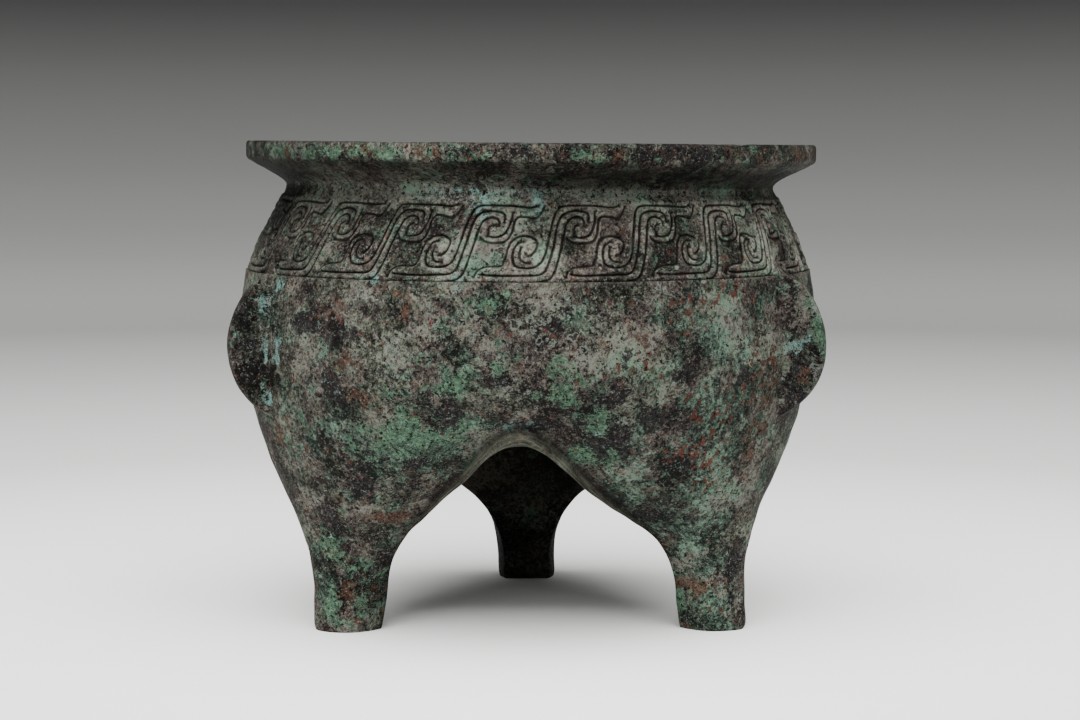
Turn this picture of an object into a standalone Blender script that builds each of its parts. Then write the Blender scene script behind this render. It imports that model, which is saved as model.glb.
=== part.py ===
"""Bronze li vessel: a round cooking vessel cast in one piece, standing on three lobed hoof legs.

All sizes are in millimetres and are turned into metres when a mesh is made.  The floor is z = 0 and
the front of the vessel, the arch between two legs, looks towards -Y.
"""
import math

import bmesh
import bpy
from mathutils import Vector, geometry

# ---------------------------------------------------------------- driving sizes
MM = 0.001
HEIGHT = 145.6                 # rim top above the floor
RIM_R = 88.0                   # outer radius of the squared lip
LIP_TALL = 4.9                 # height of the lip's outer face
NECK_R = 75.1                  # narrowest outer radius, under the rim
WALL = 3.3                     # wall of the casting
LEG_AZ = (90.0, 210.0, 330.0)  # the legs, seen from above
FOOT_R = 64.2                  # centre of each foot from the vessel's axis
FLANGE_TIP_R = 100.3           # the three half-round flanges over the legs
FLANGE_DISC_R = 23.0
FLANGE_Z = 85.7
FLANGE_THICK = 3.6
AXIS_Y = -(FLANGE_TIP_R - RIM_R) / 2.0   # vessel's axis, so that the box is centred on Y = 0

MOTIFS = 21                    # S-scrolls round the shoulder
MOTIF_R = 82.5                 # radius at which the motif's widths are measured
PITCH = 2.0 * math.pi * MOTIF_R / MOTIFS
MOTIF_TURN = math.radians(-90.0)   # where the first motif's own zero stands
GROOVE_HALF = 0.38             # half width of an engraved line
GROOVE_DEEP = 0.55
BAND_V0 = 103.53               # height of the motif's v = 0
BAND_RISE = 1.0 / 1.094        # height gained for each millimetre up the slope
BODY_TOP = 106.75              # the body's upper edge, the lower wall of the border groove

COLUMNS = 2 * MOTIFS           # facets round the rim and neck
ARCH_SHIFT = 3.4               # how far left of the middle the front arch's crown stands

# outer radius against height, neck to belly
SHOULDER = ((130.1, 76.0), (128.2, 77.45), (125.7, 78.65), (123.3, 80.0), (120.8, 81.25),
            (118.4, 82.3), (115.9, 83.45), (113.5, 84.45), (111.0, 85.45), (108.6, 86.25),
            (106.2, 86.9), (103.2, 87.3))


def at(points, z):
    """Radius at a height, straight between the points of a profile that runs downwards."""
    if z >= points[0][0]:
        return points[0][1]
    for (za, ra), (zb, rb) in zip(points, points[1:]):
        if z >= zb:
            return rb + (ra - rb) * (z - zb) / (za - zb)
    return points[-1][1]


def polar(radius, azimuth, z):
    """A point round the vessel's axis; the azimuth is in degrees."""
    a = math.radians(azimuth)
    return Vector((radius * math.cos(a), AXIS_Y + radius * math.sin(a), z))


def leg_point(azimuth, radial, across, z):
    """A point given along and across a leg's own direction."""
    a = math.radians(azimuth)
    x = radial * math.cos(a) - across * math.sin(a)
    y = radial * math.sin(a) + across * math.cos(a)
    return Vector((x, AXIS_Y + y, z))


# ---------------------------------------------------------------- scene helpers
def clear_scene():
    for obj in list(bpy.data.objects):
        bpy.data.objects.remove(obj, do_unlink=True)


def collection(name, hidden=False):
    coll = bpy.data.collections.new(name)
    bpy.context.scene.collection.children.link(coll)
    coll.hide_render = hidden
    return coll


def mesh_object(name, points, faces, coll):
    """An object from points in millimetres, its faces turned outward."""
    mesh = bpy.data.meshes.new(name)
    mesh.from_pydata([Vector(p) * MM for p in points], [], faces)
    bm = bmesh.new()
    bm.from_mesh(mesh)
    bmesh.ops.recalc_face_normals(bm, faces=bm.faces)
    bm.to_mesh(mesh)
    bm.free()
    mesh.update()
    obj = bpy.data.objects.new(name, mesh)
    coll.objects.link(obj)
    return obj


def evaluated_points(obj):
    graph = bpy.context.evaluated_depsgraph_get()
    graph.update()
    shown = obj.evaluated_get(graph)
    mesh = shown.to_mesh()
    points = [v.co.copy() for v in mesh.vertices]
    shown.to_mesh_clear()
    return points


def settle(obj, targets, rounds=12):
    """Move a cage until its smoothed surface passes through the target points."""
    for _ in range(rounds):
        smooth = evaluated_points(obj)
        for i, target in enumerate(targets):
            obj.data.vertices[i].co += Vector(target) * MM - smooth[i]
        obj.data.update()


def apply_modifiers(obj):
    """Turn an object's modifiers into plain mesh."""
    graph = bpy.context.evaluated_depsgraph_get()
    graph.update()
    mesh = bpy.data.meshes.new_from_object(obj.evaluated_get(graph))
    obj.modifiers.clear()
    obj.data = mesh


def crease_edges(obj, pairs):
    """Sharpen the edges named by their two vertex numbers."""
    layer = obj.data.attributes.new("crease_edge", "FLOAT", "EDGE")
    for edge in obj.data.edges:
        weight = pairs.get(tuple(sorted(edge.vertices)), 0.0)
        layer.data[edge.index].value = weight


def boolean(obj, other, operation):
    mod = obj.modifiers.new(operation.title(), "BOOLEAN")
    mod.operation = operation
    mod.solver = "EXACT"
    mod.object = other
    return mod


# ---------------------------------------------------------------- lobed lower body
# Each ring of the cage is given by its leg-centre, half-way and between-legs columns, then the
# roll under each arch; a leg's own rings are given along and across the leg: lobe, half-way,
# corner (crease), roll and inner face.
OUTER = {
    "rings": (((87.0, BODY_TOP), (87.0, BODY_TOP), (87.0, BODY_TOP)),
              ((88.8, 84.5), (88.2, 84.5), (87.0, 84.5)),
              ((86.6, 63.0), (82.5, 63.0), (73.0, 65.3))),
    "roll": (66.0, 58.9),
    "hub": 54.5,
    "hub_inner": (35.0, 55.5),
    "legs": (((82.0, 46.0), (68.4, 29.2, 46.0), (46.6, 39.0, 46.0), (43.8, 35.2, 43.4), (45.5, 40.5)),
             ((76.2, 29.0), (67.4, 14.2, 29.0), (54.0, 17.2, 29.0), (52.3, 14.6, 27.6), (52.2, 25.0)),
             ((73.8, 13.0), (66.6, 9.0, 13.0), (55.5, 8.4, 13.0), (54.3, 6.6, 13.0), (53.3, 13.0)),
             ((74.2, 0.0), (67.0, 8.5, 0.0), (56.4, 7.6, 0.0), (55.2, 5.8, 0.0), (54.4, 0.0))),
    "crease": 0.55,
}
INNER = {
    "rings": (((81.5, 98.5), (81.5, 98.5), (81.5, 98.5)),
              ((84.9, 86.0), (84.7, 86.0), (84.0, 86.0)),
              ((83.4, 63.5), (79.2, 64.0), (69.4, 68.0))),
    "roll": (63.4, 62.6),
    "hub": 58.0,
    "hub_inner": (38.0, 59.4),
    "legs": (((78.4, 46.0), (67.0, 25.5, 48.0), (50.5, 33.0, 53.0), (50.3, 22.0, 50.0), (50.5, 46.0)),
             ((72.8, 30.0), (67.0, 9.5, 31.5), (59.5, 9.5, 33.0), (58.0, 5.5, 32.0), (57.0, 31.0)),
             ((69.8, 23.5), (67.4, 4.5, 23.5), (62.4, 4.5, 23.5), (61.2, 2.5, 23.5), (60.2, 23.5))),
    "crease": 0.0,
}


def ramp(value, low, high):
    """0 below the low value, 1 above the high one, smooth between."""
    t = min(max((value - low) / (high - low), 0.0), 1.0)
    return t * t * (3.0 - 2.0 * t)


def nudged(point):
    """The front arch stands a little left of the middle between its two legs."""
    turn = math.degrees(math.atan2(point.y - AXIS_Y, point.x)) % 360.0 - 270.0
    tall = ramp(point.z, 18.0, 56.0) * (1.0 - ramp(point.z, 70.0, 100.0))
    near = ramp(math.hypot(point.x, point.y - AXIS_Y), 15.0, 50.0)
    shift = ARCH_SHIFT * math.exp(-(turn / 36.0) ** 2) * tall * near
    return point - Vector((shift, 0.0, 0.0))


def lobed_cage(name, shape, coll, levels=2):
    """A closed cage of twelve columns that parts into three leg tubes, then smoothed."""
    points = []
    faces = []
    ring_ids = []
    for lobe, half, valley in shape["rings"]:
        row = []
        for column in range(12):
            radius, z = (lobe, half, valley, half)[column % 4]
            row.append(len(points))
            points.append(polar(radius, LEG_AZ[0] + 30.0 * column, z))
        ring_ids.append(row)
    faces.append(tuple(ring_ids[0]))
    for upper, lower in zip(ring_ids, ring_ids[1:]):
        for c in range(12):
            d = (c + 1) % 12
            faces.append((upper[c], upper[d], lower[d], lower[c]))
    base = ring_ids[-1]
    roll = {}
    for c in (2, 6, 10):
        roll[c] = len(points)
        points.append(polar(shape["roll"][0], LEG_AZ[0] + 30.0 * c, shape["roll"][1]))
    hub = len(points)
    points.append(Vector((0.0, AXIS_Y, shape["hub"])))
    hub_inner = []
    for azimuth in LEG_AZ:
        hub_inner.append(len(points))
        points.append(polar(shape["hub_inner"][0], azimuth, shape["hub_inner"][1]))
    sharp = {}
    for leg, azimuth in enumerate(LEG_AZ):
        c = 4 * leg
        before = (c - 2) % 12
        after = (c + 2) % 12
        tube = [base[before], base[(c - 1) % 12], base[c], base[(c + 1) % 12], base[after],
                roll[after], hub_inner[leg], roll[before]]
        faces.append((hub, hub_inner[leg], roll[after], hub_inner[(leg + 1) % 3]))
        for depth, (lobe, half, corner, under, inner) in enumerate(shape["legs"]):
            lower = list(range(len(points), len(points) + 8))
            points.extend((leg_point(azimuth, corner[0], -corner[1], corner[2]),
                           leg_point(azimuth, half[0], -half[1], half[2]),
                           leg_point(azimuth, lobe[0], 0.0, lobe[1]),
                           leg_point(azimuth, half[0], half[1], half[2]),
                           leg_point(azimuth, corner[0], corner[1], corner[2]),
                           leg_point(azimuth, under[0], under[1], under[2]),
                           leg_point(azimuth, inner[0], 0.0, inner[1]),
                           leg_point(azimuth, under[0], -under[1], under[2])))
            for i in range(8):
                j = (i + 1) % 8
                faces.append((tube[i], tube[j], lower[j], lower[i]))
            for side in (0, 4):
                weight = shape["crease"] * (1.0 - 0.3 * depth)
                sharp[tuple(sorted((tube[side], lower[side])))] = weight
            tube = lower
        lobe, _, _, _, inner = shape["legs"][-1]
        middle = len(points)
        points.append(leg_point(azimuth, (lobe[0] + inner[0]) / 2.0, 0.0, lobe[1]))
        for i in (7, 1, 3, 5):
            faces.append((tube[i], tube[(i + 1) % 8], tube[(i + 2) % 8], middle))
        if shape is OUTER:
            for i in range(8):
                sharp[tuple(sorted((tube[i], tube[(i + 1) % 8])))] = 1.0
    for c in range(12):
        sharp[tuple(sorted((ring_ids[0][c], ring_ids[0][(c + 1) % 12])))] = 1.0
    points = [nudged(point) for point in points]
    obj = mesh_object(name, points, faces, coll)
    crease_edges(obj, sharp)
    sub = obj.modifiers.new("Smooth", "SUBSURF")
    sub.levels = levels
    sub.render_levels = levels
    settle(obj, points)
    apply_modifiers(obj)
    return obj


def thin_out(obj, keep, low=-1.0, high=200.0):
    """Leave out the facets that matter least, between two heights only."""
    group = obj.vertex_groups.new(name="Thin out")
    group.add([v.index for v in obj.data.vertices if low < v.co.z / MM < high], 1.0, "REPLACE")
    thin = obj.modifiers.new("Thin out", "DECIMATE")
    thin.ratio = keep
    thin.vertex_group = "Thin out"
    apply_modifiers(obj)
    obj.vertex_groups.clear()


def soften_feet(obj, turn=1.5):
    """Round the bottom edge of each foot: draw in its rim and bring the next row down to it."""
    low = sorted({round(v.co.z / MM, 2) for v in obj.data.vertices if v.co.z < 12.0 * MM})
    row = next(z for z in low if z > 0.2)
    for v in obj.data.vertices:
        z = v.co.z / MM
        if z < 0.2:
            azimuth = min(LEG_AZ, key=lambda a: (polar(FOOT_R, a, 0.0) * MM - v.co).length)
            centre = polar(FOOT_R, azimuth, 0.0) * MM
            inward = Vector((v.co.x - centre.x, v.co.y - centre.y, 0.0))
            if inward.length > 6.0 * MM:
                v.co -= inward.normalized() * turn * MM
            v.co.z = 0.0
        elif z < row + 1.2:
            v.co.z = turn * MM


# ---------------------------------------------------------------- engraved shoulder
def groove_paths():
    """Centre lines of one motif's engraved lines, along the band and up its slope."""
    stem_right = [(16.3, 21.2), (15.6, 23.0), (13.0, 23.4), (11.1, 21.6), (9.7, 16.0),
                  (8.0, 9.0), (6.4, 5.2), (4.8, 4.5)]
    stem_middle = [(17.6, 21.6), (17.3, 24.4), (14.2, 25.3), (10.3, 24.6), (8.3, 20.2),
                   (6.2, 11.0), (4.5, 6.7), (0.0, 5.85), (-12.4, 5.8), (-13.6, 6.1)]
    stem_left = [(27.0, 26.5), (25.6, 26.8), (10.8, 27.0), (8.3, 25.0), (6.2, 18.4), (5.2, 13.6),
                 (3.6, 9.6), (0.4, 8.3), (-3.0, 8.9), (-3.9, 12.0), (-2.6, 15.2)]
    upper_edge = [(11.2, 18.4), (12.2, 16.3), (15.4, 15.6), (18.9, 16.6), (20.3, 20.4),
                  (21.6, 23.6), (26.0, 23.3), (28.9, 26.6)]
    lower_edge = [(-13.8, 7.0), (-11.4, 8.4), (-6.7, 8.8), (-5.6, 12.4), (-4.2, 16.2),
                  (-0.8, 18.1), (2.3, 17.0), (2.4, 14.0), (0.6, 12.0)]
    return (stem_right, stem_middle, stem_left, upper_edge, lower_edge)


SEAM = ((9.0, 3.25), (9.0, 4.1), (9.9, 8.4), (12.4, 12.0), (17.6, 13.6), (19.7, 16.4),
        (21.6, 19.2), (27.2, 21.4), (29.9, 25.0), (30.3, 28.3), (30.3, 28.9))


def channel(path, half):
    """Left edge, floor and right edge of a groove that runs out to a point at each end."""
    left = []
    right = []
    count = len(path)
    for i, (x, y) in enumerate(path):
        if i in (0, count - 1):
            left.append((x, y))
            right.append((x, y))
            continue
        before = Vector((x - path[i - 1][0], y - path[i - 1][1])).normalized()
        after = Vector((path[i + 1][0] - x, path[i + 1][1] - y)).normalized()
        across = Vector((-(before.y + after.y), before.x + after.x)).normalized()
        reach = half / max(0.6, across.dot(Vector((-before.y, before.x))))
        left.append((x + across.x * reach, y + across.y * reach))
        right.append((x - across.x * reach, y - across.y * reach))
    return left, right


def motif_tile():
    """One motif as flat triangles: points (x, slope, depth) and faces."""
    points = []
    depths = []
    edges = []

    def put(x, y, depth):
        points.append(Vector((x, y)))
        depths.append(depth)
        return len(points) - 1

    def chain(ids):
        edges.extend(zip(ids, ids[1:]))

    def seam_depth(k):
        return GROOVE_DEEP if k == 0 else (0.35 if k == len(SEAM) - 1 else 0.0)

    seam_a = [put(x, y, seam_depth(k)) for k, (x, y) in enumerate(SEAM)]
    seam_b = [put(x + PITCH, y, seam_depth(k)) for k, (x, y) in enumerate(SEAM)]
    rows = {}
    for k in (0, 1, len(SEAM) - 2, len(SEAM) - 1):
        x, y = SEAM[k]
        parts = 3 if k < 2 else 2
        middle = [put(x + PITCH * j / parts, y, seam_depth(k)) for j in range(1, parts)]
        rows[k] = [seam_a[k]] + middle + [seam_b[k]]
    last = len(SEAM) - 1
    outline = rows[0] + seam_b[1:-1] + rows[last][::-1] + seam_a[1:-1][::-1]
    chain(outline + [outline[0]])
    chain(rows[1])
    chain(rows[last - 1])
    for path in groove_paths():
        shifted = [(x + PITCH, y) for x, y in path]
        left, right = channel(shifted, GROOVE_HALF)
        first = put(shifted[0][0], shifted[0][1], 0.0)
        end = put(shifted[-1][0], shifted[-1][1], 0.0)
        inner = range(1, len(path) - 1)
        lefts = [put(left[i][0], left[i][1], 0.0) for i in inner]
        floor = [put(shifted[i][0], shifted[i][1], GROOVE_DEEP) for i in inner]
        rights = [put(right[i][0], right[i][1], 0.0) for i in inner]
        for ids in (lefts, floor, rights):
            chain([first] + ids + [end])
    flat, _, faces, origin, _, _ = geometry.delaunay_2d_cdt(points, edges, [outline], 1, 1e-5)
    tile = []
    for co, source in zip(flat, origin):
        tile.append((co.x, co.y, depths[source[0]] if source else 0.0))
    return tile, [tuple(f) for f in faces]


def band_point(x, slope, depth):
    """Wrap a point of the flat motif onto the shoulder, sunk along the surface's own normal."""
    z = BAND_V0 + slope * BAND_RISE
    radius = at(SHOULDER, z)
    turn = x / MOTIF_R + MOTIF_TURN
    lean = math.atan2(at(SHOULDER, z - 1.0) - at(SHOULDER, z + 1.0), 2.0)
    radius -= depth * math.cos(lean)
    z -= depth * math.sin(lean)
    return (radius * math.cos(turn), AXIS_Y + radius * math.sin(turn), z)


def upper_body(coll):
    """Engraved band, plain neck and flaring rim as one closed block, filled inside."""
    tile, tile_faces = motif_tile()
    grid = {}
    points = []
    faces = []

    def add(x, slope, depth):
        turns = round(x / PITCH * 1e4) % round(MOTIFS * 1e4)
        key = (turns, round(slope * 1e3), round(depth * 1e3))
        if key not in grid:
            grid[key] = len(points)
            points.append(band_point(x, slope, depth))
        return grid[key]

    for n in range(MOTIFS):
        ids = [add(x + n * PITCH, slope, depth) for x, slope, depth in tile]
        for face in tile_faces:
            faces.append(tuple(ids[i] for i in face))
    foot = [add(SEAM[0][0] + PITCH * j / 3.0, SEAM[0][1], GROOVE_DEEP)
            for j in range(3 * MOTIFS)]
    ring = [add(SEAM[-1][0] + PITCH * j / 2.0, SEAM[-1][1], 0.35) for j in range(COLUMNS)]
    faces.append(tuple(foot))
    profile = ((NECK_R, 132.5), (75.4, 133.2), (78.0, 134.8), (82.6, 137.2), (86.5, 139.4),
               (RIM_R, HEIGHT - LIP_TALL), (RIM_R, HEIGHT - 0.7), (RIM_R - 0.7, HEIGHT))
    for radius, z in profile:
        upper = []
        for j in range(COLUMNS):
            turn = (SEAM[-1][0] + PITCH * j / 2.0) / MOTIF_R + MOTIF_TURN
            upper.append(len(points))
            points.append((radius * math.cos(turn), AXIS_Y + radius * math.sin(turn), z))
        for j in range(COLUMNS):
            k = (j + 1) % COLUMNS
            faces.append((ring[j], ring[k], upper[k], upper[j]))
        ring = upper
    faces.append(tuple(ring))
    return mesh_object("Upper body", points, faces, coll)


# ---------------------------------------------------------------- mouth, cavity and flanges
def turned(name, profile, coll, steps=COLUMNS):
    """A solid of revolution about the vessel's axis from (radius, height) points."""
    start = SEAM[-1][0] / MOTIF_R + MOTIF_TURN
    mesh = bpy.data.meshes.new(name)
    points = [Vector((r * math.cos(start), r * math.sin(start), z)) * MM for r, z in profile]
    mesh.from_pydata(points, [(i, i + 1) for i in range(len(points) - 1)], [])
    obj = bpy.data.objects.new(name, mesh)
    obj.location.y = AXIS_Y * MM
    coll.objects.link(obj)
    screw = obj.modifiers.new("Turn", "SCREW")
    screw.axis = "Z"
    screw.steps = steps
    screw.render_steps = steps
    screw.use_merge_vertices = True
    screw.merge_threshold = 0.00005
    screw.use_normal_calculate = True
    apply_modifiers(obj)
    bm = bmesh.new()
    bm.from_mesh(obj.data)
    bmesh.ops.recalc_face_normals(bm, faces=bm.faces)
    bm.to_mesh(obj.data)
    bm.free()
    return obj


def flange(azimuth, coll):
    """A half-round plate standing on edge over a leg: a disc sunk into the body's wall."""
    mesh = bpy.data.meshes.new("Flange")
    bm = bmesh.new()
    bmesh.ops.create_cone(bm, cap_ends=True, segments=28, radius1=FLANGE_DISC_R * MM,
                          radius2=FLANGE_DISC_R * MM, depth=FLANGE_THICK * MM)
    for v in bm.verts:
        v.co = Vector((v.co.x, v.co.z, v.co.y))
    rim = [e for e in bm.edges if abs(e.verts[0].co.y - e.verts[1].co.y) < 1e-6]
    bmesh.ops.bevel(bm, geom=rim, offset=0.8 * MM, segments=1, affect="EDGES")
    bmesh.ops.recalc_face_normals(bm, faces=bm.faces)
    bm.to_mesh(mesh)
    bm.free()
    obj = bpy.data.objects.new("Flange", mesh)
    centre = polar(FLANGE_TIP_R - FLANGE_DISC_R, azimuth, FLANGE_Z)
    obj.location = centre * MM
    obj.rotation_euler.z = math.radians(azimuth)
    coll.objects.link(obj)
    return obj


def bronze():
    material = bpy.data.materials.new("bronze")
    material.use_nodes = True
    shader = material.node_tree.nodes["Principled BSDF"]
    shader.inputs["Base Color"].default_value = (0.13, 0.15, 0.12, 1.0)
    shader.inputs["Metallic"].default_value = 0.35
    shader.inputs["Roughness"].default_value = 0.62
    material.diffuse_color = (0.13, 0.15, 0.12, 1.0)
    return material


def main():
    clear_scene()
    shown = collection("Bronze li vessel")
    tools = collection("Cutters", hidden=True)

    vessel = lobed_cage("li_vessel", OUTER, shown)
    soften_feet(vessel)
    thin_out(vessel, 0.75, low=4.0, high=97.0)
    upper = upper_body(tools)
    boolean(vessel, upper, "UNION")
    for azimuth in LEG_AZ:
        boolean(vessel, flange(azimuth, tools), "UNION")

    mouth_profile = ((0.0, 150.0), (91.0, 150.0), (RIM_R - 1.4, HEIGHT), (84.4, HEIGHT - 1.6),
                     (73.4, 135.3), (NECK_R - WALL, 132.4), (72.9, 128.8),
                     (77.9, 118.0), (82.8, 107.6), (84.9, 97.0), (85.0, 90.0),
                     (0.0, 90.0))
    mouth = turned("Mouth", mouth_profile, tools)
    pockets = lobed_cage("Pockets", INNER, tools)
    thin_out(pockets, 0.38)
    boolean(vessel, mouth, "DIFFERENCE")
    boolean(vessel, pockets, "DIFFERENCE")
    for obj in tools.objects:
        obj.display_type = "WIRE"
        obj.hide_render = True

    apply_modifiers(vessel)
    vessel.data.materials.clear()
    vessel.data.materials.append(bronze())
    vessel["slot"] = "bronze"


main()
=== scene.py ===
"""Looks of the bronze li vessel: lobed body, engraved shoulder, squared rim and half-round flanges,
all under an old green, brown and black patina.

Sizes are in millimetres, in the CAD model's own frame, and are turned into metres when a mesh is made.
"""
import math
import random

import bmesh
import bpy
import numpy as np
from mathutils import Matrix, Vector, geometry, noise


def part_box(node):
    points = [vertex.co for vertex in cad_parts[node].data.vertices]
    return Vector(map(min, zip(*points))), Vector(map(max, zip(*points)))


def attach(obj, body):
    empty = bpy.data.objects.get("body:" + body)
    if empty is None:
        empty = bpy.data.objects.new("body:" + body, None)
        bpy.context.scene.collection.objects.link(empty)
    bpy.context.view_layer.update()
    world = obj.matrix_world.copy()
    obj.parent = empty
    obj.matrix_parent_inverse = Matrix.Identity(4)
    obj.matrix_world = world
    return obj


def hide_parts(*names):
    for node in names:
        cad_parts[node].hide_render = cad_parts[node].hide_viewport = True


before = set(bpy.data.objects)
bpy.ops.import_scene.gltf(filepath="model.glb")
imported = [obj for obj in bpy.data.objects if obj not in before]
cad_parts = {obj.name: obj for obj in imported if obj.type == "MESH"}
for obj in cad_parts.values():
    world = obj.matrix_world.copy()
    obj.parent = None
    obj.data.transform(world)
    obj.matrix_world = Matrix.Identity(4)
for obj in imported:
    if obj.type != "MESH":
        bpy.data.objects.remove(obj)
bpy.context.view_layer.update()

# -------- driving sizes
MM = 0.001
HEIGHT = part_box("li_vessel")[1].z / MM  # rim top above the floor
RIM_R = 87.6  # outer radius of the squared lip
LEG_AZ = (90.0, 210.0, 330.0)  # the legs, seen from above, in degrees
FLANGE_TIP_R = 100.7
FLANGE_DISC_R = 23.4
FLANGE_Z = 86.3
FLANGE_HALF = 24.5  # half its drawn height
LOBE_R = 88.75  # the lobe behind a flange: largest radius, its height, and bend
LOBE_Z = 86.5
LOBE_BEND = 0.0038
SOLID_RIM_R = 88.0  # lip and flange reach of the plain solid
SOLID_TIP_R = 100.3
AXIS_Y = -(SOLID_TIP_R - SOLID_RIM_R) / 2.0  # the vessel's own axis, off the box's centre

MOTIFS = 21  # S-scrolls round the shoulder
MOTIF_R = 82.5
PITCH = 2.0 * math.pi * MOTIF_R / MOTIFS
MOTIF_TURN = math.radians(-90.0)
GROOVE_HALF = 0.54
GROOVE_DEEP = 0.55
BAND_V0 = 103.53  # height of the motif's v = 0
BAND_RISE = 1.0 / 1.094
BODY_TOP = 106.75  # joint of the two pieces, in the band's border groove
JOINT_R = 83.1  # inner radius at that joint
COLUMNS = 12  # round the rim, per motif
ARCH_SHIFT = 1.2  # how far left the front arch's crown stands
SOLE = 0.35  # what lies lower than this is the flat of a foot

# outer radius against height, neck to belly
SHOULDER = ((130.1, 76.0), (128.2, 77.45), (125.7, 78.65), (123.3, 80.0), (120.8, 81.25),
            (118.4, 82.3), (115.9, 83.45), (113.5, 84.45), (111.0, 85.45), (108.6, 86.25),
            (106.2, 86.9), (103.2, 87.3))


# -------- small helpers
def leg_point(azimuth, radial, across, z):
    """A point given along and across a leg's own direction."""
    a = math.radians(azimuth)
    x = radial * math.cos(a) - across * math.sin(a)
    y = radial * math.sin(a) + across * math.cos(a)
    return Vector((x, AXIS_Y + y, z))


def polar(radius, azimuth, z):
    return leg_point(azimuth, radius, 0.0, z)


def rise(value, low, high):
    """A smooth step up from 0 at low to 1 at high."""
    t = np.clip((value - low) / (high - low), 0.0, 1.0)
    return t * t * (3.0 - 2.0 * t)


def fall(value, low, high):
    return 1.0 - rise(value, low, high)


def reach_of(points):
    """Distance of each point from the vessel's axis."""
    return np.hypot(points[..., 0], points[..., 1] - AXIS_Y)


def azimuth_of(points):
    return np.degrees(np.arctan2(points[:, 1] - AXIS_Y, points[:, 0]))


def angle_of(point):
    return math.atan2(point[1] - AXIS_Y, point[0])


def by_azimuth(ids, points):
    return sorted(sorted(ids), key=lambda v: angle_of(points[v]))


def kept_within(points, limit):
    """The points, with those outside a radius drawn in to it."""
    shrink = np.minimum(1.0, limit / reach_of(points))
    points[..., 0] *= shrink
    points[..., 1] = AXIS_Y + (points[..., 1] - AXIS_Y) * shrink
    return points


def spline(points, step):
    """A smooth line through the points, with a point about every step."""
    p = [np.array(q, float) for q in points]
    p = [2.0 * p[0] - p[1]] + p + [2.0 * p[-1] - p[-2]]
    line = []
    for i in range(1, len(p) - 2):
        count = max(1, round(float(np.linalg.norm(p[i + 1] - p[i])) / step))
        for k in range(count):
            t = k / count
            line.append(0.5 * (2.0 * p[i] + (p[i + 1] - p[i - 1]) * t
                               + (2.0 * p[i - 1] - 5.0 * p[i] + 4.0 * p[i + 1] - p[i + 2]) * t ** 2
                               + (3.0 * p[i] - p[i - 1] - 3.0 * p[i + 1] + p[i + 2]) * t ** 3))
    line.append(p[-2])
    return np.array(line)


def rumple(points, normals, parts):
    """Push points along their normals by sums of smooth noise, given as (wavelength, height)."""
    push = np.zeros(len(points))
    for wavelength, height in parts:
        push += height * np.array([noise.noise(Vector(p) / wavelength) for p in points])
    return points + normals * push[:, None]


def new_mesh(name, points, faces):
    mesh = bpy.data.meshes.new(name)
    mesh.from_pydata(np.asarray(points).tolist(), [], [list(map(int, f)) for f in faces])
    return mesh


def placed(name, data):
    """A new object in the scene."""
    obj = bpy.data.objects.new(name, data)
    bpy.context.scene.collection.objects.link(obj)
    return obj


def make_piece(name, points, faces, attributes):
    """A smooth mesh object in metres, with one number per point for each named attribute."""
    mesh = new_mesh(name, np.asarray(points) * MM, faces)
    for key, values in attributes.items():
        layer = mesh.attributes.new(key, "FLOAT", "POINT")
        layer.data.foreach_set("value", np.asarray(values, np.float32))
    bm = bmesh.new()
    bm.from_mesh(mesh)
    bmesh.ops.recalc_face_normals(bm, faces=bm.faces)
    for face in bm.faces:
        face.smooth = True
    for edge in bm.edges:
        edge.smooth = edge.calc_face_angle(0.0) < math.radians(50.0)
    bm.to_mesh(mesh)
    bm.free()
    mesh.update()
    return placed(name, mesh)


def point_normals(points, faces):
    """Vertex normals of a mesh given as arrays, in its faces' own direction."""
    mesh = new_mesh("Scratch", points, faces)
    normals = np.zeros(len(points) * 3, np.float32)
    mesh.vertices.foreach_get("normal", normals)
    bpy.data.meshes.remove(mesh)
    return normals.reshape(-1, 3).astype(float)


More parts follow.
